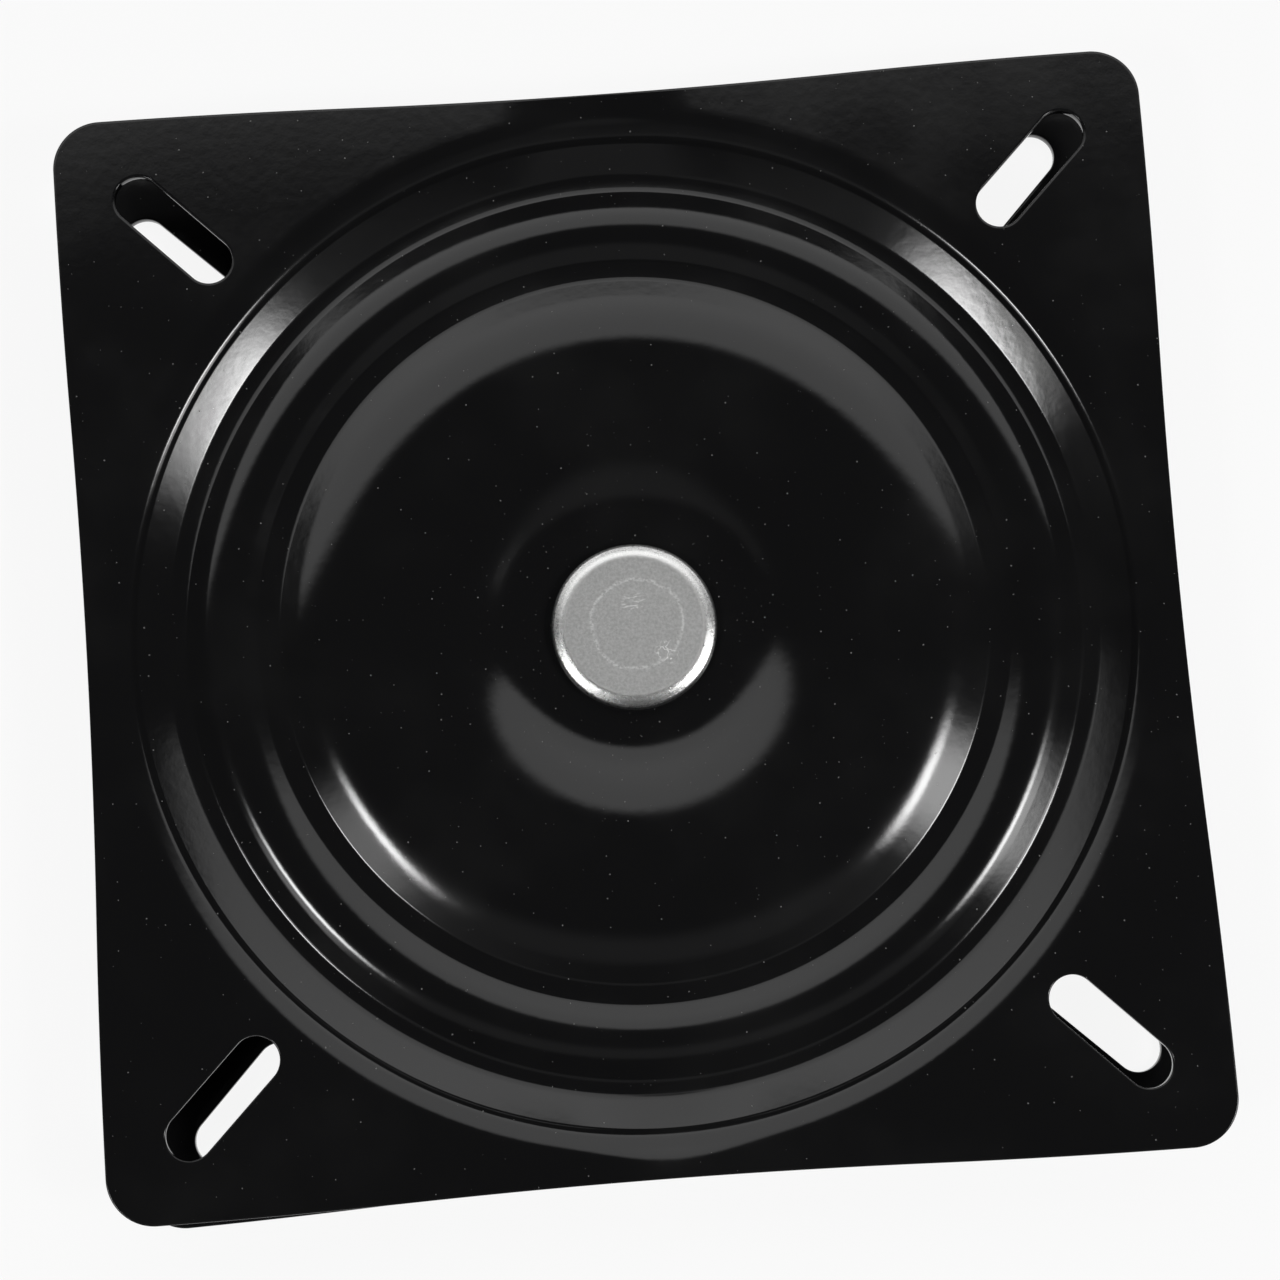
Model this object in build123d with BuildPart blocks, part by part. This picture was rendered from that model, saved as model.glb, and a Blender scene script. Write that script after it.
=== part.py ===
"""Ball-bearing chair swivel: two square pressed-steel plates, face to face, that turn about a centre rivet."""

import os
from math import cos, radians, sin, tan

from build123d import *

# Plates: square steel pressings, in millimetres and degrees
PLATE_SIDE = 200.0
CORNER_RADIUS = 8.7
SIDE_BOW = 1.5  # how far the draw pulls each side in at its middle
SHEET = 2.0
OVERALL_HEIGHT = 22.6  # from one mounting face to the other
REST_TURN = -1.4  # the top plate as it was left, against the base

# Mounting slots, on the diagonals and pointing at the centre
SLOT_COUNT = 4
SLOT_LENGTH = 26.0
SLOT_WIDTH = 8.6
SLOT_LAND = 2.5  # flat sheet between the dish and a slot

# Dish, from the flange inwards: widths across, drops from the level outside, slopes in degrees
FLANGE_WIDTH = 6.0  # narrowest flange, at the middle of a side
RIM_RUN = 3.2
RIM_SLOPE = 14.0
RIM_BEND = 6.0
RIM_LAND = 1.0  # flat ring outside the bend, turned with the dish
STEP_HEIGHT = 1.1
STEP_BEND = 2.4
STEP_FOOT_BEND = 2.0
WALL_SLOPE = 28.0
TROUGH_FLOOR = 2.5
TROUGH_OUTER_BEND = 3.5
TROUGH_INNER_BEND = 3.0
TROUGH_DROP = 2.2  # from the top of the race ridge
RACE_OUTER_ANGLE = 23.0
RACE_INNER_ANGLE = 21.0
RACE_RELIEF = 2.35  # how much rounder the race is than the ball's own clearance
MOAT_DROP = 1.57  # from the top of the race ridge
MOAT_FLOOR = 3.5
MOAT_BEND = 2.5
DOME_RISE = 3.12
DOME_FLANK_ANGLE = 20.5
DOME_SHOULDER_BEND = 28.0
DOME_SAG = 0.85  # how far the dome falls again towards the funnel
FUNNEL_RUN = 12.0
FUNNEL_BEND = 12.0
SEAT_LAND = 7.0  # flat seat round the rivet's head
SEAT_DEPTH = 5.2  # below the mounting face
SEAT_BEND = 6.0

# Balls and their cage
BALL_DIAMETER = 12.7
BALL_COUNT = 20
BALL_CLEARANCE = 0.2
CAGE_WIDTH = 16.0
CAGE_HEIGHT = 4.5
CAGE_EDGE = 0.8
POCKET_CLEARANCE = 0.25

# Centre pivot
HEAD_RADIUS = 15.0
HEAD_HEIGHT = 3.0
HEAD_ROUND = 1.3
SHANK_RADIUS = 6.0
SHANK_CLEARANCE = 0.05
TAIL_RADIUS = 9.5
TAIL_HEIGHT = 2.0
TAIL_ROUND = 1.2
SLEEVE_WALL = 3.0
BUSH_WALL = 1.5
BUSH_FLANGE_RADIUS = 15.0
BUSH_FLANGE_HEIGHT = 1.2
BUSH_STAND = 2.0  # how far the bush stands up inside the base plate
BUSH_CLEARANCE = 0.05
BUSH_SEAT_CLEARANCE = 0.02
WASHER_RADIUS = 14.0
WASHER_HEIGHT = 1.4
WASHER_EDGE = 0.3
END_PLAY = 0.15

# Dish levels and radii that follow from the sizes above, from the rim inwards
MIDDLE = OVERALL_HEIGHT / 2
RIDGE_DEPTH = MIDDLE - BALL_DIAMETER / 2 - BALL_CLEARANCE - SHEET
RACE_BEND = BALL_DIAMETER / 2 + BALL_CLEARANCE + SHEET + RACE_RELIEF
RIDGE_LEAN = radians(RACE_OUTER_ANGLE - RACE_INNER_ANGLE) / 2
RIDGE_PEAK_REACH = RACE_BEND / cos(radians(RACE_OUTER_ANGLE + RACE_INNER_ANGLE) / 2)
RIDGE_PEAK_DEPTH = RIDGE_DEPTH + RACE_BEND - RIDGE_PEAK_REACH * cos(RIDGE_LEAN)
TROUGH_DEPTH = RIDGE_DEPTH + TROUGH_DROP
MOAT_DEPTH = RIDGE_DEPTH + MOAT_DROP
DOME_DEPTH = MOAT_DEPTH - DOME_RISE
STEP_TOP_DEPTH = RIM_RUN * tan(radians(RIM_SLOPE))
STEP_FOOT_DEPTH = STEP_TOP_DEPTH + STEP_HEIGHT
RIM_RADIUS = PLATE_SIDE / 2 - FLANGE_WIDTH
STEP_TOP_RADIUS = RIM_RADIUS - RIM_RUN
STEP_FOOT_RADIUS = STEP_TOP_RADIUS - STEP_HEIGHT
TROUGH_OUTER_RADIUS = STEP_FOOT_RADIUS - (TROUGH_DEPTH - STEP_FOOT_DEPTH) / tan(radians(WALL_SLOPE))
TROUGH_INNER_RADIUS = TROUGH_OUTER_RADIUS - TROUGH_FLOOR
OUTER_FLANK_RUN = (TROUGH_DEPTH - RIDGE_PEAK_DEPTH) / tan(radians(RACE_OUTER_ANGLE))
INNER_FLANK_RUN = (MOAT_DEPTH - RIDGE_PEAK_DEPTH) / tan(radians(RACE_INNER_ANGLE))
RIDGE_PEAK_RADIUS = TROUGH_INNER_RADIUS - OUTER_FLANK_RUN
RACE_RADIUS = RIDGE_PEAK_RADIUS - RIDGE_PEAK_REACH * sin(RIDGE_LEAN)
MOAT_OUTER_RADIUS = RIDGE_PEAK_RADIUS - INNER_FLANK_RUN
DOME_FOOT_RADIUS = MOAT_OUTER_RADIUS - MOAT_FLOOR
DOME_SHOULDER_RADIUS = DOME_FOOT_RADIUS - DOME_RISE / tan(radians(DOME_FLANK_ANGLE))
SEAT_RADIUS = HEAD_RADIUS + SEAT_LAND
FUNNEL_RADIUS = SEAT_RADIUS + FUNNEL_RUN
FLANGE_HOLE_RADIUS = RIM_RADIUS + RIM_BEND * tan(radians(RIM_SLOPE / 2)) + RIM_LAND
SLOT_CENTER_RADIUS = FLANGE_HOLE_RADIUS + SLOT_LAND + SLOT_LENGTH / 2
HALF_SIDE = PLATE_SIDE / 2
HALF_STRAIGHT = HALF_SIDE - CORNER_RADIUS

# Pivot levels and radii, from the rivet's shank outwards and from the top plate down
SLEEVE_BORE_RADIUS = SHANK_RADIUS + SHANK_CLEARANCE
SLEEVE_RADIUS = SLEEVE_BORE_RADIUS + SLEEVE_WALL
BUSH_BORE_RADIUS = SLEEVE_RADIUS + BUSH_CLEARANCE
BUSH_RADIUS = BUSH_BORE_RADIUS + BUSH_WALL
BASE_HOLE_RADIUS = BUSH_RADIUS + BUSH_SEAT_CLEARANCE
HEAD_SEAT_Z = OVERALL_HEIGHT - SEAT_DEPTH
SLEEVE_TOP_Z = HEAD_SEAT_Z - SHEET
BUSH_BOTTOM_Z = SEAT_DEPTH - BUSH_FLANGE_HEIGHT
BUSH_HEIGHT = BUSH_FLANGE_HEIGHT + SHEET + BUSH_STAND
WASHER_TOP_Z = BUSH_BOTTOM_Z - END_PLAY
WASHER_BOTTOM_Z = WASHER_TOP_Z - WASHER_HEIGHT

# Each plate is drawn from its mounting face, with Z pointing into the mechanism
BASE_FACE = Plane.XY
TOP_FACE = Plane(
    origin=(0, 0, OVERALL_HEIGHT),
    x_dir=Vector(1, 0, 0).rotate(Axis.Z, REST_TURN),
    z_dir=(0, 0, -1),
)

os.makedirs("parts", exist_ok=True)

# The dish's outer face from the flange inwards: corners (radius, depth) and the bend at each
DISH_CORNERS = [
    (FLANGE_HOLE_RADIUS, 0),
    (RIM_RADIUS, 0),
    (STEP_TOP_RADIUS, STEP_TOP_DEPTH),
    (STEP_FOOT_RADIUS, STEP_FOOT_DEPTH),
    (TROUGH_OUTER_RADIUS, TROUGH_DEPTH),
    (TROUGH_INNER_RADIUS, TROUGH_DEPTH),
    (RIDGE_PEAK_RADIUS, RIDGE_PEAK_DEPTH),
    (MOAT_OUTER_RADIUS, MOAT_DEPTH),
    (DOME_FOOT_RADIUS, MOAT_DEPTH),
    (DOME_SHOULDER_RADIUS, DOME_DEPTH),
    (FUNNEL_RADIUS, DOME_DEPTH + DOME_SAG),
    (SEAT_RADIUS, SEAT_DEPTH),
]
DISH_BENDS = [
    RIM_BEND,
    STEP_BEND,
    STEP_FOOT_BEND,
    TROUGH_OUTER_BEND,
    TROUGH_INNER_BEND,
    RACE_BEND,
    MOAT_BEND,
    MOAT_BEND,
    DOME_SHOULDER_BEND,
    FUNNEL_BEND,
    SEAT_BEND,
]

# Pressed plates: a bowed square flange round the dish, pierced for the slots and the pivot
for plate_name, face, hole_radius in (
    ("base_plate", BASE_FACE, BASE_HOLE_RADIUS),
    ("top_plate", TOP_FACE, SLEEVE_BORE_RADIUS),
):
    with BuildPart() as plate:
        with BuildSketch(face):
            with BuildLine():
                for quarter in range(4):
                    turn = -90 * quarter
                    start = Vector(-HALF_STRAIGHT, HALF_SIDE).rotate(Axis.Z, turn)
                    middle = Vector(0, HALF_SIDE - SIDE_BOW).rotate(Axis.Z, turn)
                    end = Vector(HALF_STRAIGHT, HALF_SIDE).rotate(Axis.Z, turn)
                    corner_end = Vector(HALF_SIDE, HALF_STRAIGHT).rotate(Axis.Z, turn)
                    along = Vector(1, 0).rotate(Axis.Z, turn)
                    Spline(start, middle, end, tangents=(along, along))
                    TangentArc(end, corner_end, tangent=along)
            make_face()
            Circle(FLANGE_HOLE_RADIUS, mode=Mode.SUBTRACT)
            with PolarLocations(SLOT_CENTER_RADIUS, SLOT_COUNT, start_angle=45):
                SlotOverall(SLOT_LENGTH, SLOT_WIDTH, mode=Mode.SUBTRACT)
        extrude(amount=SHEET)
        with BuildSketch(Plane(face.origin, face.x_dir, face.x_dir.cross(face.z_dir))):
            with BuildLine():
                FilletPolyline(*DISH_CORNERS, (hole_radius, SEAT_DEPTH), radius=DISH_BENDS)
                offset(amount=SHEET, side=Side.RIGHT)
            make_face()
        revolve(axis=Axis(face.origin, face.z_dir))
    plate.part.label = plate_name
    export_step(plate.part, f"parts/{plate_name}.step")

# Pivot bush: flanged nylon bearing, pushed up into the base plate's hole
with BuildPart() as pivot_bush:
    with BuildSketch(Plane.XY.offset(BUSH_BOTTOM_Z)):
        Circle(BUSH_FLANGE_RADIUS)
    extrude(amount=BUSH_FLANGE_HEIGHT)
    with BuildSketch(Plane.XY.offset(BUSH_BOTTOM_Z)):
        Circle(BUSH_RADIUS)
    extrude(amount=BUSH_HEIGHT)
    with BuildSketch(Plane.XY.offset(BUSH_BOTTOM_Z)):
        Circle(BUSH_BORE_RADIUS)
    extrude(amount=BUSH_HEIGHT, mode=Mode.SUBTRACT)
pivot_bush.part.label = "pivot_bush"
export_step(pivot_bush.part, "parts/pivot_bush.step")

# Pivot sleeve: steel spacer tube that the rivet clamps between the top plate and the washer
with BuildPart() as pivot_sleeve:
    with BuildSketch(Plane.XY.offset(WASHER_TOP_Z)):
        Circle(SLEEVE_RADIUS)
        Circle(SLEEVE_BORE_RADIUS, mode=Mode.SUBTRACT)
    extrude(amount=SLEEVE_TOP_Z - WASHER_TOP_Z)
pivot_sleeve.part.label = "pivot_sleeve"
export_step(pivot_sleeve.part, "parts/pivot_sleeve.step")

# Rivet washer: steel ring under the base, between the bush flange and the rivet's formed tail
with BuildPart() as rivet_washer:
    with BuildSketch(Plane.XY.offset(WASHER_BOTTOM_Z)):
        Circle(WASHER_RADIUS)
        Circle(SLEEVE_BORE_RADIUS, mode=Mode.SUBTRACT)
    extrude(amount=WASHER_HEIGHT)
    outer_rims = rivet_washer.edges().filter_by(GeomType.CIRCLE).group_by(SortBy.RADIUS)[-1]
    chamfer(outer_rims, WASHER_EDGE)
rivet_washer.part.label = "rivet_washer"
export_step(rivet_washer.part, "parts/rivet_washer.step")

# Centre rivet: flat button head on the top plate, plain shank, tail spread over the washer
with BuildPart() as center_rivet:
    with BuildSketch(Plane.XY.offset(HEAD_SEAT_Z)):
        Circle(HEAD_RADIUS)
    extrude(amount=HEAD_HEIGHT)
    fillet(center_rivet.edges().sort_by(Axis.Z)[-1], HEAD_ROUND)
    with BuildSketch(Plane.XY.offset(WASHER_BOTTOM_Z)):
        Circle(SHANK_RADIUS)
    extrude(amount=HEAD_SEAT_Z - WASHER_BOTTOM_Z)
    with BuildSketch(Plane.XY.offset(WASHER_BOTTOM_Z)):
        Circle(TAIL_RADIUS)
    extrude(amount=-TAIL_HEIGHT)
    fillet(center_rivet.edges().sort_by(Axis.Z)[0], TAIL_ROUND)
center_rivet.part.label = "center_rivet"
export_step(center_rivet.part, "parts/center_rivet.step")

# Ball cage: moulded nylon ring whose rounded pockets keep the balls evenly spaced
with BuildPart() as ball_cage:
    with BuildSketch(Plane.XY.offset(MIDDLE - CAGE_HEIGHT / 2)):
        Circle(RACE_RADIUS + CAGE_WIDTH / 2)
        Circle(RACE_RADIUS - CAGE_WIDTH / 2, mode=Mode.SUBTRACT)
    extrude(amount=CAGE_HEIGHT)
    chamfer(ball_cage.edges().filter_by(GeomType.CIRCLE), CAGE_EDGE)
    with Locations((0, 0, MIDDLE)):
        with PolarLocations(RACE_RADIUS, BALL_COUNT):
            Sphere(BALL_DIAMETER / 2 + POCKET_CLEARANCE, mode=Mode.SUBTRACT)
ball_cage.part.label = "ball_cage"
export_step(ball_cage.part, "parts/ball_cage.step")

# Bearing balls: hardened steel, loose in the cage pockets and rolling in both races
for index in range(BALL_COUNT):
    place = Vector(RACE_RADIUS, 0, MIDDLE).rotate(Axis.Z, index * 360 / BALL_COUNT)
    with BuildPart() as bearing_ball:
        with Locations(place):
            Sphere(BALL_DIAMETER / 2)
    bearing_ball.part.label = f"bearing_ball_{index + 1:02d}"
    export_step(bearing_ball.part, f"parts/{bearing_ball.part.label}.step")
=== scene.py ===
from math import atan, ceil, cos, pi, radians, sin, tan

import bmesh
import bpy
from mathutils import Matrix, Vector


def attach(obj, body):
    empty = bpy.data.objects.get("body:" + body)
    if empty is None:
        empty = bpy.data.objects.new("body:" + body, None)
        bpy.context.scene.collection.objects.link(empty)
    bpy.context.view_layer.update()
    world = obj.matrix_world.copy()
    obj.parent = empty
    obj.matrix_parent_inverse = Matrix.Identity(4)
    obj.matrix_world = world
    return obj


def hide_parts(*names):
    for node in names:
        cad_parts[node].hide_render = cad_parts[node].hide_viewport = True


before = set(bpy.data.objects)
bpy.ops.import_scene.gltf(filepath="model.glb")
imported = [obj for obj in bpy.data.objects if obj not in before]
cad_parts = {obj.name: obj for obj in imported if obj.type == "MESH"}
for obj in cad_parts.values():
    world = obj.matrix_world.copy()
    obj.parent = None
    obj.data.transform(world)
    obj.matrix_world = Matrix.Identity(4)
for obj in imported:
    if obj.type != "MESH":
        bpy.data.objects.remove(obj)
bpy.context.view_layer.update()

# Base plate: a square of 2 mm steel sheet, drawn in a press to a round dish with a ball race and a
# raised centre, pierced for four mounting slots and the pivot, and finished in gloss black paint.
# It lies face down, and everything else stands on it.
SHEET = 2.0
OVERALL_HEIGHT = 22.6
HALF_SIDE = 100.0
CORNER_RADIUS = 8.7
SIDE_BOW = 1.5
SLOT_LENGTH = 26.0
SLOT_WIDTH = 8.6
SLOT_CENTER_RADIUS = 111.24
RIM_RADIUS = 94.1
RIM_SLOPE = radians(17.5)
RIM_BEND = 9.0
RIM_LAND = 1.0
STEP_TOP_RADIUS = 90.6
STEP_HEIGHT = 0.8
WALL_SLOPE = radians(28.0)
TROUGH_FLOOR = 2.5
RIDGE_DEPTH = 2.75
TROUGH_DROP = 2.2
MOAT_DROP = 1.57
RACE_OUTER_ANGLE = radians(23.0)
RACE_INNER_ANGLE = radians(21.0)
RACE_BEND = 10.9
MOAT_FLOOR = 3.5
DOME_RISE = 3.12
DOME_FLANK_ANGLE = radians(20.5)
DOME_SAG = 0.85
FUNNEL_RADIUS = 32.0
SEAT_RADIUS = 22.6
SEAT_DEPTH = 5.2
DISH_BENDS = [RIM_BEND, 3.4, 1.4, 3.5, 3.0, RACE_BEND, 2.5, 2.5, 28.0, 38.0, 19.0]
DISH_STEPS = 240
FINEST_BEND = radians(3.0)
LONGEST_CHORD = 6.0
SHORTEST_RUN = 1e-6
EDGE_STRIP = 0.5
EDGE_ROUND = 0.25
EDGE_ROUND_STEPS = 3
JOIN_DISTANCE = 0.001
PULL_DEPTH = 0.85
PULL_HALF_WIDTH = 20.0
PULL_INNER_RADIUS = 84.0
PULL_STEP_RADIUS = 90.4
PULL_RADIUS = 93.2
PULL_OUTER_RADIUS = 98.4
BASE_HOLE_RADIUS = 10.62


def dish_corners(hole_radius):
    """Corners (radius, depth) of the dish's outer face, from the flange inwards."""
    ridge_lean = (RACE_OUTER_ANGLE - RACE_INNER_ANGLE) / 2
    peak_reach = RACE_BEND / cos((RACE_OUTER_ANGLE + RACE_INNER_ANGLE) / 2)
    peak_depth = RIDGE_DEPTH + RACE_BEND - peak_reach * cos(ridge_lean)
    trough_depth = RIDGE_DEPTH + TROUGH_DROP
    moat_depth = RIDGE_DEPTH + MOAT_DROP
    dome_depth = moat_depth - DOME_RISE
    step_top_depth = (RIM_RADIUS - STEP_TOP_RADIUS) * tan(RIM_SLOPE)
    step_foot_depth = step_top_depth + STEP_HEIGHT
    step_foot = STEP_TOP_RADIUS - STEP_HEIGHT
    trough_outer = step_foot - (trough_depth - step_foot_depth) / tan(WALL_SLOPE)
    trough_inner = trough_outer - TROUGH_FLOOR
    peak = trough_inner - (trough_depth - peak_depth) / tan(RACE_OUTER_ANGLE)
    moat_outer = peak - (moat_depth - peak_depth) / tan(RACE_INNER_ANGLE)
    dome_foot = moat_outer - MOAT_FLOOR
    dome_shoulder = dome_foot - DOME_RISE / tan(DOME_FLANK_ANGLE)
    flange_hole = RIM_RADIUS + RIM_BEND * tan(RIM_SLOPE / 2) + RIM_LAND
    return [
        (flange_hole, 0.0),
        (RIM_RADIUS, 0.0),
        (STEP_TOP_RADIUS, step_top_depth),
        (step_foot, step_foot_depth),
        (trough_outer, trough_depth),
        (trough_inner, trough_depth),
        (peak, peak_depth),
        (moat_outer, moat_depth),
        (dome_foot, moat_depth),
        (dome_shoulder, dome_depth),
        (FUNNEL_RADIUS, dome_depth + DOME_SAG),
        (SEAT_RADIUS, SEAT_DEPTH),
        (hole_radius, SEAT_DEPTH),
    ]


def draw_line(bm, corners, bends, axis, shift=0.0, closed=False):
    """Draws a line of straights and round bends, moved sideways by shift, and returns its edges."""
    axis = Vector(axis)
    count = len(corners)
    turns = range(count) if closed else range(1, count - 1)
    runs = [(corners[(i + 1) % count] - corners[i]).normalized() for i in range(count)]
    reach = [0.0] * count
    angle = [0.0] * count
    for i in turns:
        angle[i] = runs[i - 1].angle(runs[i])
        if runs[i - 1].cross(runs[i]).dot(axis) < 0:
            angle[i] = -angle[i]
        reach[i] = bends[i] * tan(abs(angle[i]) / 2)
    old_edges = set(bm.edges)
    start = corners[0] + runs[0] * reach[0] + axis.cross(runs[0]) * shift
    first = bmesh.ops.create_vert(bm, co=start)["vert"][0]
    tip = first
    for i in list(range(1, count)) + ([0] if closed else []):
        length = (corners[i] - corners[i - 1]).length - reach[i] - reach[i - 1]
        if length > SHORTEST_RUN:
            tip = bmesh.ops.extrude_vert_indiv(bm, verts=[tip])["verts"][0]
            tip.co += runs[i - 1] * length
        if reach[i]:
            side = 1 if angle[i] > 0 else -1
            center = tip.co + axis.cross(runs[i - 1]) * (side * bends[i] - shift)
            arc = bends[i] * abs(angle[i])
            steps = max(ceil(abs(angle[i]) / FINEST_BEND), ceil(arc / LONGEST_CHORD))
            turned = bmesh.ops.spin(bm, geom=[tip], cent=center, axis=axis, angle=angle[i], steps=steps)
            tip = [v for v in turned["geom_last"] if isinstance(v, bmesh.types.BMVert)][0]
    if closed:
        bmesh.ops.pointmerge(bm, verts=[tip, first], merge_co=first.co)
    return [edge for edge in bm.edges if edge not in old_edges]


def pressed_plate(name, hole_radius, place):
    """One plate, drawn with its mounting face up at height zero, then put in its place."""
    bm = bmesh.new()
    corners = dish_corners(hole_radius)

    # Flange: bowed sides between round corners, and the slots on the diagonals
    half_bow = (HALF_SIDE - CORNER_RADIUS) / 2
    bow_angle = 2 * atan(SIDE_BOW / 2 / half_bow)
    bow_bend = half_bow / sin(bow_angle)
    bow_start = HALF_SIDE - CORNER_RADIUS - bow_bend * tan(bow_angle / 2)
    bow_middle = HALF_SIDE - SIDE_BOW / 2 - half_bow * tan(bow_angle)
    quarter_outline = [
        (HALF_SIDE, HALF_SIDE),
        (bow_start, HALF_SIDE),
        (0, bow_middle),
        (-bow_start, HALF_SIDE),
    ]
    half_length = SLOT_LENGTH / 2
    half_width = SLOT_WIDTH / 2
    outline = []
    slots = []
    for quarter in range(4):
        turn = Matrix.Rotation(quarter * pi / 2, 3, "Z")
        diagonal = Matrix.Rotation((quarter + 0.5) * pi / 2, 3, "Z")
        for x, y in quarter_outline:
            outline.append(turn @ Vector((x, y, 0)))
        slots.append([
            diagonal @ Vector((SLOT_CENTER_RADIUS + half_length * along, half_width * across, 0))
            for along, across in ((1, -1), (1, 1), (-1, 1), (-1, -1))
        ])
    cuts = [(outline, [CORNER_RADIUS, bow_bend, bow_bend, bow_bend] * 4, EDGE_STRIP)]
    cuts += [(slot, [half_width] * 4, -EDGE_STRIP) for slot in slots]
    borders = []
    flange_hole = corners[0][0]
    for depth in (0.0, SHEET):
        drop = Matrix.Translation((0, 0, -depth))
        ring = bmesh.ops.create_circle(bm, segments=DISH_STEPS, radius=flange_hole, matrix=drop)["verts"]
        filled = list({edge for vert in ring for edge in vert.link_edges})
        face_borders = []
        for line, bends, shift in cuts:
            line = [drop @ corner for corner in line]
            border = draw_line(bm, line, bends, (0, 0, 1), closed=True)
            strip = draw_line(bm, line, bends, (0, 0, 1), shift=shift, closed=True)
            bmesh.ops.bridge_loops(bm, edges=border + strip)
            filled += strip
            face_borders.append(border)
        bmesh.ops.triangle_fill(bm, edges=filled, normal=(0, 0, 1), use_beauty=True)
        borders.append(face_borders)
    for upper, lower in zip(*borders):
        bmesh.ops.bridge_loops(bm, edges=upper + lower)
    bmesh.ops.recalc_face_normals(bm, faces=bm.faces)
    bmesh.ops.bevel(
        bm,
        geom=[edge for border in borders[0] + borders[1] for edge in border],
        offset=EDGE_ROUND,
        offset_type="OFFSET",
        segments=EDGE_ROUND_STEPS,
        profile=0.5,
        affect="EDGES",
        material=-1,
    )

    # Dish: both faces of its section, spun round and then joined at the pivot hole
    section = [Vector((radius, 0, -depth)) for radius, depth in corners]
    bends = [0.0] + DISH_BENDS + [0.0]
    wires = draw_line(bm, section, bends, (0, 1, 0))
    wires += draw_line(bm, section, bends, (0, 1, 0), shift=-SHEET)
    bmesh.ops.spin(
        bm,
        geom=wires + list({vert for edge in wires for vert in edge.verts}),
        cent=(0, 0, 0),
        axis=(0, 0, 1),
        angle=2 * pi,
        steps=DISH_STEPS,
        use_merge=True,
    )
    bmesh.ops.remove_doubles(bm, verts=bm.verts, dist=JOIN_DISTANCE)
    bmesh.ops.bridge_loops(bm, edges=[edge for edge in bm.edges if edge.is_boundary])
    bmesh.ops.recalc_face_normals(bm, faces=bm.faces)

    # The draw has pulled the narrow flange down a little at the middle of the near and far sides
    for vert in bm.verts:
        radius = vert.co.xy.length
        along = abs(vert.co.x)
        if radius > PULL_INNER_RADIUS and along < PULL_HALF_WIDTH:
            inner = (radius - PULL_INNER_RADIUS) / (PULL_STEP_RADIUS - PULL_INNER_RADIUS)
            outer = (PULL_OUTER_RADIUS - radius) / (PULL_OUTER_RADIUS - PULL_RADIUS)
            fade = cos(along / PULL_HALF_WIDTH * pi / 2) ** 2
            vert.co.z -= PULL_DEPTH * fade * max(0.0, min(1.0, inner, outer))
    bmesh.ops.transform(bm, matrix=place, verts=bm.verts)
    return finished_piece(bm, name)


MILLIMETRE = 0.001
HARD_EDGE = radians(50.0)


def finished_piece(bm, name):
    """Makes the object of a piece drawn in millimetres, smooth except at its hard edges."""
    mesh = bpy.data.meshes.new(name)
    bmesh.ops.scale(bm, vec=(MILLIMETRE, MILLIMETRE, MILLIMETRE), verts=bm.verts)
    for face in bm.faces:
        face.smooth = True
    bm.to_mesh(mesh)
    bm.free()
    mesh.set_sharp_from_angle(angle=HARD_EDGE)
    piece = bpy.data.objects.new(name, mesh)
    bpy.context.scene.collection.objects.link(piece)
    return piece


class Tone:
    """One value or colour of a finish, kept as the socket that it comes from."""

    def __init__(self, tree, socket=None):
        self.tree = tree
        self.socket = socket

    def node(self, kind, settings=None, inputs=None, output=0):
        """Any node: its settings, the values or Tones led into it, and the output taken."""
        made = self.tree.nodes.new(kind)
        for name, setting in (settings or {}).items():
            setattr(made, name, setting)
        for name, value in (inputs or {}).items():
            if isinstance(value, Tone):
                self.tree.links.new(value.socket, made.inputs[name])
            else:
                made.inputs[name].default_value = value
        return Tone(self.tree, made.outputs[output])

    def math(self, operation, first, second=0.0):
        return self.node("ShaderNodeMath", {"operation": operation}, {0: first, 1: second})

    def __add__(self, other):
        return self.math("ADD", self, other)

    def __radd__(self, other):
        return self.math("ADD", other, self)

    def __sub__(self, other):
        return self.math("SUBTRACT", self, other)

    def __rsub__(self, other):
        return self.math("SUBTRACT", other, self)

    def __mul__(self, other):
        return self.math("MULTIPLY", self, other)

    def __rmul__(self, other):
        return self.math("MULTIPLY", other, self)

    def __truediv__(self, other):
        return self.math("DIVIDE", self, other)

    def __gt__(self, other):
        return self.math("GREATER_THAN", self, other)

    def most(self, other):
        return self.math("MAXIMUM", self, other)

    def ramp(self, low, high):
        """Nought below low, one above high, with a smooth rise between."""
        return self.node(
            "ShaderNodeMapRange",
            {"interpolation_type": "SMOOTHSTEP"},
            {"Value": self, "From Min": low, "From Max": high},
        )

    def mix(self, first, second):
        """The first colour where this is nought, the second where it is one."""
        colors = {"Factor": self, 6: first, 7: second}
        return self.node("ShaderNodeMix", {"data_type": "RGBA"}, colors, output=2)


def noise(tone, where, scale, detail=2.0, roughness=0.5):
    """Cloudy grain of a finish, its scale in grains for each unit of the place."""
    inputs = {"Vector": where, "Scale": scale, "Detail": detail, "Roughness": roughness}
    return tone.node("ShaderNodeTexNoise", {}, inputs)


def bump(tone, height, strength, distance):
    """Fine relief of a finish, as the normal that it gives."""
    inputs = {"Strength": strength, "Distance": distance, "Height": height}
    return tone.node("ShaderNodeBump", {}, inputs)


def parts_of(tone, vector, count):
    """The first few of a place's x, y and z."""
    return [tone.node("ShaderNodeSeparateXYZ", {}, {"Vector": vector}, output=part) for part in range(count)]


def finish_of(name, **fixed):
    """A new material: its shader, and a Tone that adds nodes to it."""
    material = bpy.data.materials.new(name)
    material.use_nodes = True
    shader = material.node_tree.nodes["Principled BSDF"]
    for socket, value in fixed.items():
        shader.inputs[socket.replace("_", " ")].default_value = value
    return material, shader, Tone(material.node_tree)


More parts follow.
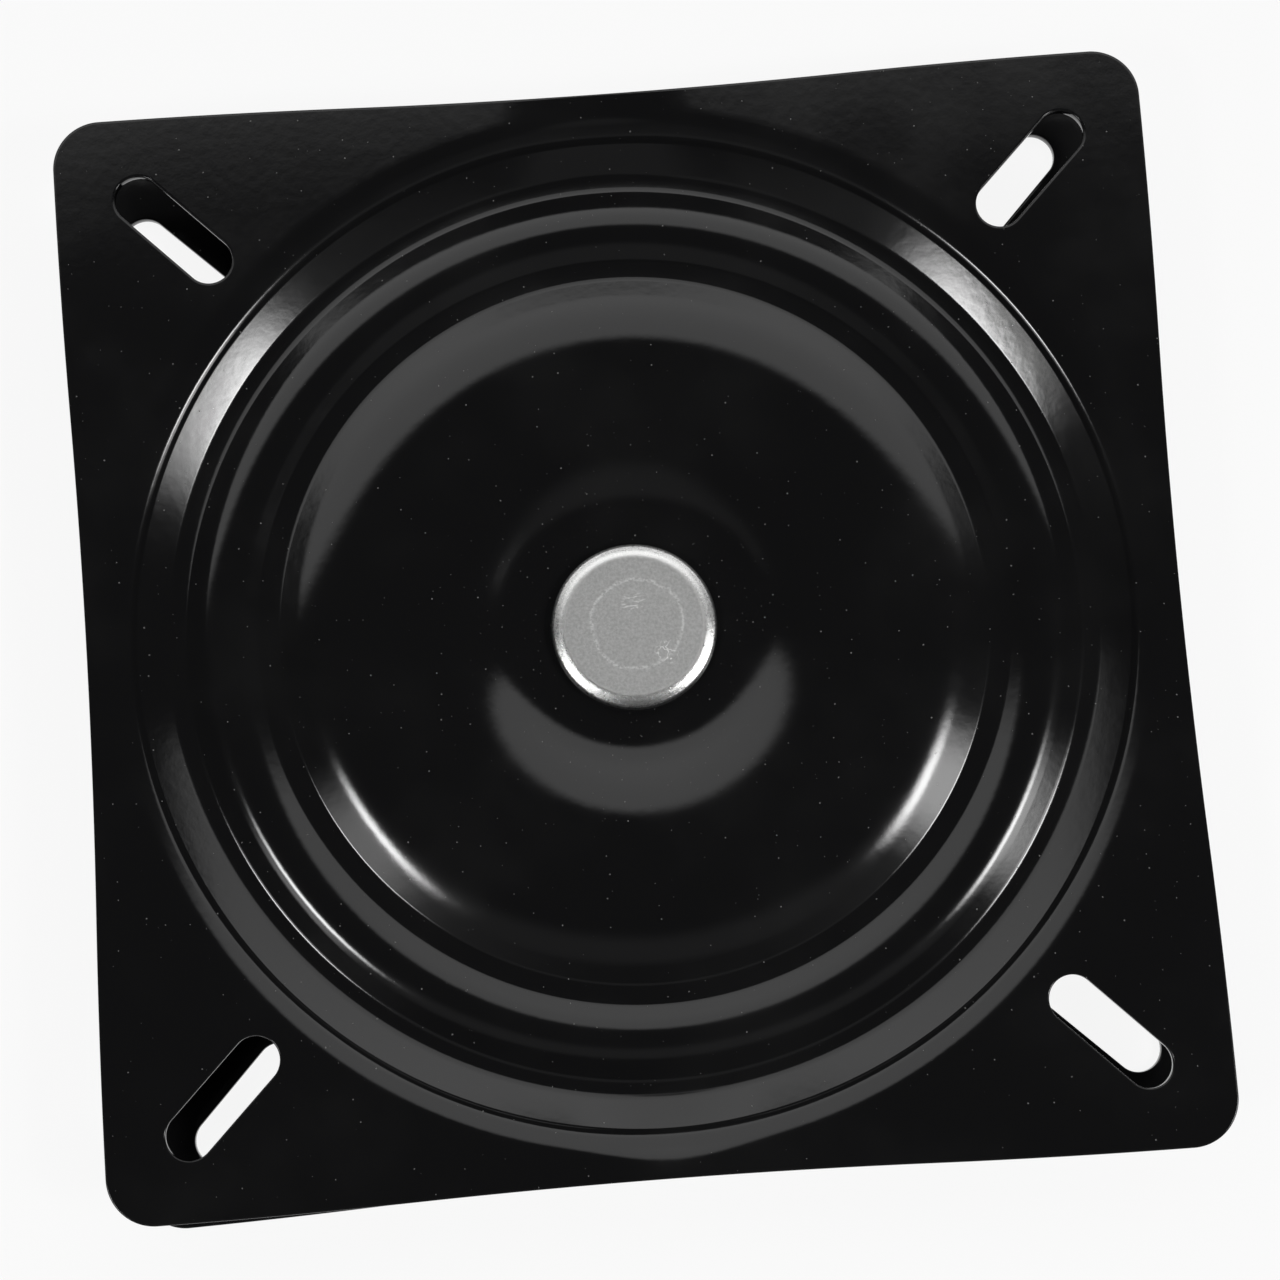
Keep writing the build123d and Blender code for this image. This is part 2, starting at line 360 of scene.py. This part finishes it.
def lead(tone, shader, socket):
    """Lets a Tone set one of the shader's sockets."""
    tone.tree.links.new(tone.socket, shader.inputs[socket])


# Gloss black paint, baked on: a slight orange peel, and fine pale dust from the workshop
PAINT_BLACK = (0.0072, 0.0072, 0.0076, 1)
PAINT_WORN = (0.0098, 0.0098, 0.0101, 1)
DUST_GREY = (0.16, 0.16, 0.155, 1)
PAINT_ROUGHNESS = 0.085
HAZE_ROUGHNESS = 0.05
DUST_ROUGHNESS = 0.5
HAZE_SCALE = 38.0
PEEL_SCALE = 520.0
DUST_NEAR = 0.015
DUST_FAR = 0.045
DUST_GAIN = 0.35
SPECK_CORE = 0.014
SPECK_EDGE = 0.032
SMALLEST_SPECK = 0.4
black_paint, shader, tone = finish_of("black_paint", IOR=1.5)
spot = tone.node("ShaderNodeTexCoord", output=3)
haze = noise(tone, spot, HAZE_SCALE, detail=4.0, roughness=0.6)
flat_spot = tone.node("ShaderNodeVectorMath", {"operation": "MULTIPLY"}, {0: spot, 1: (1, 1, 0)})
from_center = tone.node("ShaderNodeVectorMath", {"operation": "LENGTH"}, {0: flat_spot}, output=1)
near_center = 1 - from_center.ramp(DUST_NEAR, DUST_FAR)


def specks(scale, share):
    """Round grains on a share of the cells of a loose net, and on more of them near the centre."""
    cells = {"Vector": spot, "Scale": scale}
    reach, cell = [
        tone.node("ShaderNodeTexVoronoi", {"voronoi_dimensions": "2D"}, cells, output=output)
        for output in range(2)
    ]
    luck, size = [
        tone.node("ShaderNodeSeparateColor", {}, {"Color": cell}, output=output) for output in range(2)
    ]
    speck = 1 - (reach / (SMALLEST_SPECK + size)).ramp(SPECK_CORE, SPECK_EDGE)
    return speck * (luck + near_center * DUST_GAIN > 1 - share)


dust = specks(scale=230.0, share=0.3).most(specks(scale=470.0, share=0.08))
paint = haze.ramp(0.45, 0.75).mix(PAINT_BLACK, PAINT_WORN)
lead(dust.mix(paint, DUST_GREY), shader, "Base Color")
hazed = PAINT_ROUGHNESS + haze.ramp(0.35, 0.75) * HAZE_ROUGHNESS
lead(hazed + dust * DUST_ROUGHNESS, shader, "Roughness")
lead(bump(tone, noise(tone, spot, PEEL_SCALE), strength=0.03, distance=0.0003), shader, "Normal")

base_plate = pressed_plate("base_plate_pressing", BASE_HOLE_RADIUS, Matrix.Rotation(pi, 4, "X"))
base_plate.data.materials.append(black_paint)
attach(base_plate, "base")
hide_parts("base_plate")

# Pivot bush: a flanged nylon bearing, turned or moulded and pushed into the base plate's hole.
# It shows only from below, as a pale ring round the rivet's washer.
NYLON_WHITE = (0.70, 0.69, 0.64, 1)
NYLON_SHADE = (0.58, 0.57, 0.52, 1)
NYLON_ROUGHNESS = 0.42
NYLON_CLOUDING = 0.16
NYLON_CLOUD_SCALE = 90.0
NYLON_GRAIN_SCALE = 1400.0
white_nylon, shader, tone = finish_of("white_nylon", IOR=1.53)
spot = tone.node("ShaderNodeTexCoord", output=3)
cloud = noise(tone, spot, NYLON_CLOUD_SCALE, detail=3.0)
lead(cloud.ramp(0.35, 0.7).mix(NYLON_WHITE, NYLON_SHADE), shader, "Base Color")
lead(NYLON_ROUGHNESS + cloud * NYLON_CLOUDING, shader, "Roughness")
lead(bump(tone, noise(tone, spot, NYLON_GRAIN_SCALE), strength=0.08, distance=0.0002), shader, "Normal")


def dress(node, material):
    """Gives a carried-over solid its finish."""
    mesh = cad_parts[node].data
    mesh.materials.clear()
    mesh.materials.append(material)


dress("pivot_bush", white_nylon)

# Ball cage: a moulded nylon ring between the two races, with a rounded pocket for each ball.
# It is seen from the side, in the gap between the plates.
dress("ball_cage", white_nylon)

# Bearing balls: hardened and polished steel, loose in the cage's pockets with a film of grease.
# Twenty of them carry the seat's weight from one race to the other.
BALL_BRIGHT = (0.62, 0.62, 0.61, 1)
BALL_GREASED = (0.40, 0.385, 0.34, 1)
BALL_ROUGHNESS = 0.09
GREASE_ROUGHNESS = 0.22
GREASE_SCALE = 160.0
ball_steel, shader, tone = finish_of("ball_steel", Metallic=1.0)
spot = tone.node("ShaderNodeTexCoord", output=3)
grease = noise(tone, spot, GREASE_SCALE, detail=3.0).ramp(0.42, 0.68)
lead(grease.mix(BALL_BRIGHT, BALL_GREASED), shader, "Base Color")
lead(BALL_ROUGHNESS + grease * GREASE_ROUGHNESS, shader, "Roughness")
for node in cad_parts:
    if node.startswith("bearing_ball"):
        dress(node, ball_steel)

# Top plate: the same pressing the other way up, riveted to the pivot so that both turn together.
# The seat is screwed to its face through the slots.
TOP_HOLE_RADIUS = 6.05
REST_TURN = radians(-1.4)
top_place = Matrix.Translation((0, 0, OVERALL_HEIGHT)) @ Matrix.Rotation(REST_TURN, 4, "Z")
top_plate = pressed_plate("top_plate_pressing", TOP_HOLE_RADIUS, top_place)
top_plate.data.materials.append(black_paint)
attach(top_plate, "top")
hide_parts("top_plate")

# Pivot sleeve and washer: a steel spacer tube round the rivet's shank and a flat ring under the base.
# The rivet clamps them to the top plate, and both are bare, with the marks of turning and stamping.
STEEL_BRIGHT = (0.56, 0.555, 0.545, 1)
STEEL_DULL = (0.36, 0.355, 0.345, 1)
STEEL_ROUGHNESS = 0.30
STAIN_ROUGHNESS = 0.2
STAIN_SCALE = 140.0
turned_steel, shader, tone = finish_of("turned_steel", Metallic=1.0)
spot = tone.node("ShaderNodeTexCoord", output=3)
stain = noise(tone, spot, STAIN_SCALE, detail=5.0, roughness=0.65)
lead(stain.ramp(0.38, 0.7).mix(STEEL_BRIGHT, STEEL_DULL), shader, "Base Color")
lead(STEEL_ROUGHNESS + stain * STAIN_ROUGHNESS, shader, "Roughness")
dress("pivot_sleeve", turned_steel)
dress("rivet_washer", turned_steel)

# Centre rivet: a bright steel button head on the top plate's seat, with its shank spread to a tail
# below. The press has left a faint ring and scuffs on the head.
HEAD_RADIUS = 15.0
HEAD_SEAT = 17.4
HEAD_HEIGHT = 3.0
HEAD_ROUND = 0.9
RIM_FALL_RUN = 1.9
RIM_FALL = radians(23.0)
RIM_FALL_BEND = 4.0
SHANK_RADIUS = 6.0
TAIL_RADIUS = 9.5
TAIL_TOP = 2.45
TAIL_HEIGHT = 2.0
TAIL_ROUND = 1.2
RIVET_STEPS = 128
head_top = HEAD_SEAT + HEAD_HEIGHT
tail_foot = TAIL_TOP - TAIL_HEIGHT
bm = bmesh.new()
rivet_corners = [
    Vector((radius, 0, height))
    for radius, height in (
        (0.0, head_top),
        (HEAD_RADIUS - RIM_FALL_RUN, head_top),
        (HEAD_RADIUS, head_top - RIM_FALL_RUN * tan(RIM_FALL)),
        (HEAD_RADIUS, HEAD_SEAT),
        (SHANK_RADIUS, HEAD_SEAT),
        (SHANK_RADIUS, TAIL_TOP),
        (TAIL_RADIUS, TAIL_TOP),
        (TAIL_RADIUS, tail_foot),
        (0.0, tail_foot),
    )
]
rivet_bends = [0.0, RIM_FALL_BEND, HEAD_ROUND, 0.0, 0.0, 0.0, 0.0, TAIL_ROUND, 0.0]
draw_line(bm, rivet_corners, rivet_bends, (0, 1, 0))
bmesh.ops.spin(
    bm,
    geom=list(bm.verts) + list(bm.edges),
    cent=(0, 0, 0),
    axis=(0, 0, 1),
    angle=2 * pi,
    steps=RIVET_STEPS,
    use_merge=True,
)
bmesh.ops.remove_doubles(bm, verts=bm.verts, dist=JOIN_DISTANCE)
bmesh.ops.recalc_face_normals(bm, faces=bm.faces)
rivet = finished_piece(bm, "center_rivet_bright")

# Its bare face: fine mottle, a stamped ring, a hatch of strokes, a scrape, and a painted highlight round the
# rim, which is also made smoother
RIVET_BRIGHT = (0.60, 0.60, 0.595, 1)
RIVET_DULL = (0.45, 0.45, 0.445, 1)
# The near-white colour serves both the real scrapes and the painted highlight on the rim
RIVET_SCRAPE_AND_HIGHLIGHT = (0.95, 0.95, 0.94, 1)
MOTTLE_SCALE = 1.9
RING_RADIUS = 8.2
RING_CENTER = (0.5, 0.3)
RING_WANDER = 1.8
HATCH_CENTER = (0.2, 4.0)
HATCH_SLANT = radians(35.0)
SCRAPE_CENTER = (5.4, -5.4)
# Where the painted highlight round the head's rim begins and where it is full
RIM_HIGHLIGHT_START = 12.2
RIM_HIGHLIGHT_FULL = 13.0
RING_STRENGTH = 0.5
HATCH_STRENGTH = 0.7
RIM_HIGHLIGHT_STRENGTH = 0.7
RIVET_ROUGHNESS = 0.50
MOTTLE_ROUGHNESS = 0.12
MARK_ROUGHNESS = 0.2
RIM_POLISH = 0.28
bright_rivet, shader, tone = finish_of("bright_rivet", Metallic=1.0)
spot = tone.node("ShaderNodeTexCoord", output=3)
in_mm = tone.node("ShaderNodeVectorMath", {"operation": "SCALE"}, {"Vector": spot, "Scale": 1 / MILLIMETRE})
x, y = parts_of(tone, in_mm, 2)
mottle = noise(tone, in_mm, MOTTLE_SCALE, detail=5.0, roughness=0.75)


def distance(east, north):
    """How far a place on the head lies from a point, seen from above."""
    return tone.math("SQRT", (x - east) * (x - east) + (y - north) * (y - north))


wander = (noise(tone, in_mm, 0.22, detail=3.0) - 0.5) * RING_WANDER
off_ring = tone.math("ABSOLUTE", distance(*RING_CENTER) + wander - RING_RADIUS)
ring = (1 - off_ring.ramp(0.05, 0.5)) * mottle.ramp(0.36, 0.6)
stretch = {"Vector": in_mm, "Rotation": (0, 0, HATCH_SLANT), "Scale": (0.7, 3.2, 1)}
strokes = noise(tone, tone.node("ShaderNodeMapping", {}, stretch), 1.1).ramp(0.56, 0.63)
hatch = strokes * (1 - distance(*HATCH_CENTER).ramp(1.2, 2.9))
curl = tone.math("ABSOLUTE", noise(tone, in_mm, 0.62) - 0.5)
scrape = (1 - curl.ramp(0.008, 0.03)) * (1 - distance(*SCRAPE_CENTER).ramp(1.3, 2.6))
marks = (ring * RING_STRENGTH).most(hatch * HATCH_STRENGTH).most(scrape)
# Painted highlight: a lighter band all round the head's rim, also used to make the rim smoother
rim_highlight_and_polish = distance(0.0, 0.0).ramp(RIM_HIGHLIGHT_START, RIM_HIGHLIGHT_FULL)
tint = mottle.ramp(0.3, 0.7).mix(RIVET_DULL, RIVET_BRIGHT)
# The real marks and the rim's painted highlight both lighten the head towards the near-white colour
lead(marks.most(rim_highlight_and_polish * RIM_HIGHLIGHT_STRENGTH).mix(tint, RIVET_SCRAPE_AND_HIGHLIGHT), shader, "Base Color")
mottled = RIVET_ROUGHNESS + mottle * MOTTLE_ROUGHNESS
lead(mottled - rim_highlight_and_polish * RIM_POLISH + marks * MARK_ROUGHNESS, shader, "Roughness")
lead(bump(tone, mottle + marks * 0.6, strength=0.22, distance=0.0002), shader, "Normal")
rivet.data.materials.append(bright_rivet)
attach(rivet, "top")
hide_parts("center_rivet")

# Studio: a white table under the part, a dim room with a low white wall and a wide white ceiling
# panel beyond the table, and two soft lamps on the near side.
TABLE_RADIUS = 5000.0
TABLE_STEPS = 96
TABLE_WHITE = (0.86, 0.86, 0.86, 1)
TABLE_GLOW = 0.9
bm = bmesh.new()
bmesh.ops.create_circle(bm, cap_ends=True, segments=TABLE_STEPS, radius=TABLE_RADIUS)
table = finished_piece(bm, "white_table")
table_white, shader, tone = finish_of("table_white", Base_Color=TABLE_WHITE, Roughness=0.7)
camera_ray, glossy_ray, through_ray = [
    tone.node("ShaderNodeLightPath", output=output) for output in (0, 3, 6)
]
shown = camera_ray.most(glossy_ray).most(through_ray)
glow = tone.node("ShaderNodeEmission", {}, {"Strength": 1.0})
plain = Tone(tone.tree, shader.outputs["BSDF"])
blend = tone.node("ShaderNodeMixShader", {}, {0: shown * TABLE_GLOW, 1: plain, 2: glow})
surface = [node for node in tone.tree.nodes if node.type == "OUTPUT_MATERIAL"][0]
lead(blend, surface, "Surface")
table.data.materials.append(table_white)

# The room is drawn on a level ceiling, in heights above the part: across to the right, and beyond
ROOM_GREY = 0.02
PANEL_NEAR_WHITE = 1.15
PANEL_FAR_GAIN = 0.35
NEAR_CEILING_GREY = 0.13
LOWEST_CEILING = 0.01
world = bpy.data.worlds.new("studio")
bpy.context.scene.world = world
world.use_nodes = True
background = world.node_tree.nodes["Background"]
tone = Tone(world.node_tree)
east, north, up = parts_of(tone, tone.node("ShaderNodeTexCoord"), 3)
ceiling = up.most(LOWEST_CEILING)
across = east / ceiling
beyond = north / ceiling
panel_width = across.ramp(-0.99, -0.90) * (1 - across.ramp(1.02, 1.11))
panel_depth = beyond.ramp(0.285, 0.40) * (1 - beyond.ramp(1.3, 1.5))
panel_white = PANEL_NEAR_WHITE + PANEL_FAR_GAIN * beyond.ramp(0.4, 1.4)
panel = panel_width * panel_depth * panel_white
near_width = 1 - tone.math("ABSOLUTE", across).ramp(0.8, 1.0)
near_ceiling = (1 - beyond.ramp(-0.45, -0.2)) * beyond.ramp(-0.85, -0.65) * near_width
wall = 1 - up.ramp(0.03, 0.12)
room = ROOM_GREY + panel.most(wall).most(near_ceiling * NEAR_CEILING_GREY)
lead(room.most(tone.node("ShaderNodeLightPath")), background, "Color")

# Each lamp has a bright upper half and a dimmer skirt below it, both soft at the edges
LAMP_DISTANCE = 1.4
LAMP_RADIANCE = 26.0
for name, azimuth, elevation, wide, tall, skirt_share in (
    ("left_lamp", radians(206), radians(50.5), radians(22), radians(17), 0.10),
    ("right_lamp", radians(336), radians(47.5), radians(20), radians(24), 0.28),
):
    lamp = bpy.data.lights.new(name, "AREA")
    lamp.shape = "RECTANGLE"
    lamp.size = 2 * LAMP_DISTANCE * tan(wide / 2)
    lamp.size_y = 2 * LAMP_DISTANCE * tan(tall / 2)
    lamp.energy = LAMP_RADIANCE * pi * lamp.size * lamp.size_y
    lamp.use_nodes = True
    tone = Tone(lamp.node_tree)
    sideways, upwards = parts_of(tone, tone.node("ShaderNodeNewGeometry", output=5), 2)
    middle = sideways.ramp(0.0, 0.4) * (1 - sideways.ramp(0.6, 1.0))
    below_top = 1 - upwards.ramp(0.75, 1.0)
    core = upwards.ramp(0.5, 0.7) * below_top
    skirt = upwards.ramp(0.0, 0.15) * below_top
    lead(middle * core.most(skirt * skirt_share), lamp.node_tree.nodes["Emission"], "Strength")
    away = Vector((cos(azimuth) * cos(elevation), sin(azimuth) * cos(elevation), sin(elevation)))
    lamp_turn = away.to_track_quat("Z", "Y").to_matrix().to_4x4()
    holder = bpy.data.objects.new(name, lamp)
    holder.matrix_world = Matrix.Translation(away * LAMP_DISTANCE) @ lamp_turn
    holder.visible_camera = False
    bpy.context.scene.collection.objects.link(holder)

# Camera: almost straight above the part, leaning a little to the near side, about half a metre up.
# Its place, aim and shift were fitted to the top plate's outline and slots.
CAMERA_PLACE = (-0.010063, -0.064598, 0.521545)
CAMERA_AIM = (0.01412, 0.11785, -0.99293)
CAMERA_UP = (0.09762, 0.98812, 0.11866)
camera_data = bpy.data.cameras.new("camera")
camera_data.lens = 78.73
camera_data.sensor_width = 36.0
camera_data.shift_x = 0.01485
camera_data.shift_y = 0.01172
camera_data.clip_start = 0.01
camera = bpy.data.objects.new("camera", camera_data)
forward = Vector(CAMERA_AIM).normalized()
right = forward.cross(Vector(CAMERA_UP)).normalized()
camera_turn = Matrix((right, right.cross(forward), -forward)).transposed().to_4x4()
camera.matrix_world = Matrix.Translation(CAMERA_PLACE) @ camera_turn
bpy.context.scene.collection.objects.link(camera)
bpy.context.scene.camera = camera
bpy.context.scene.view_settings.view_transform = "Standard"
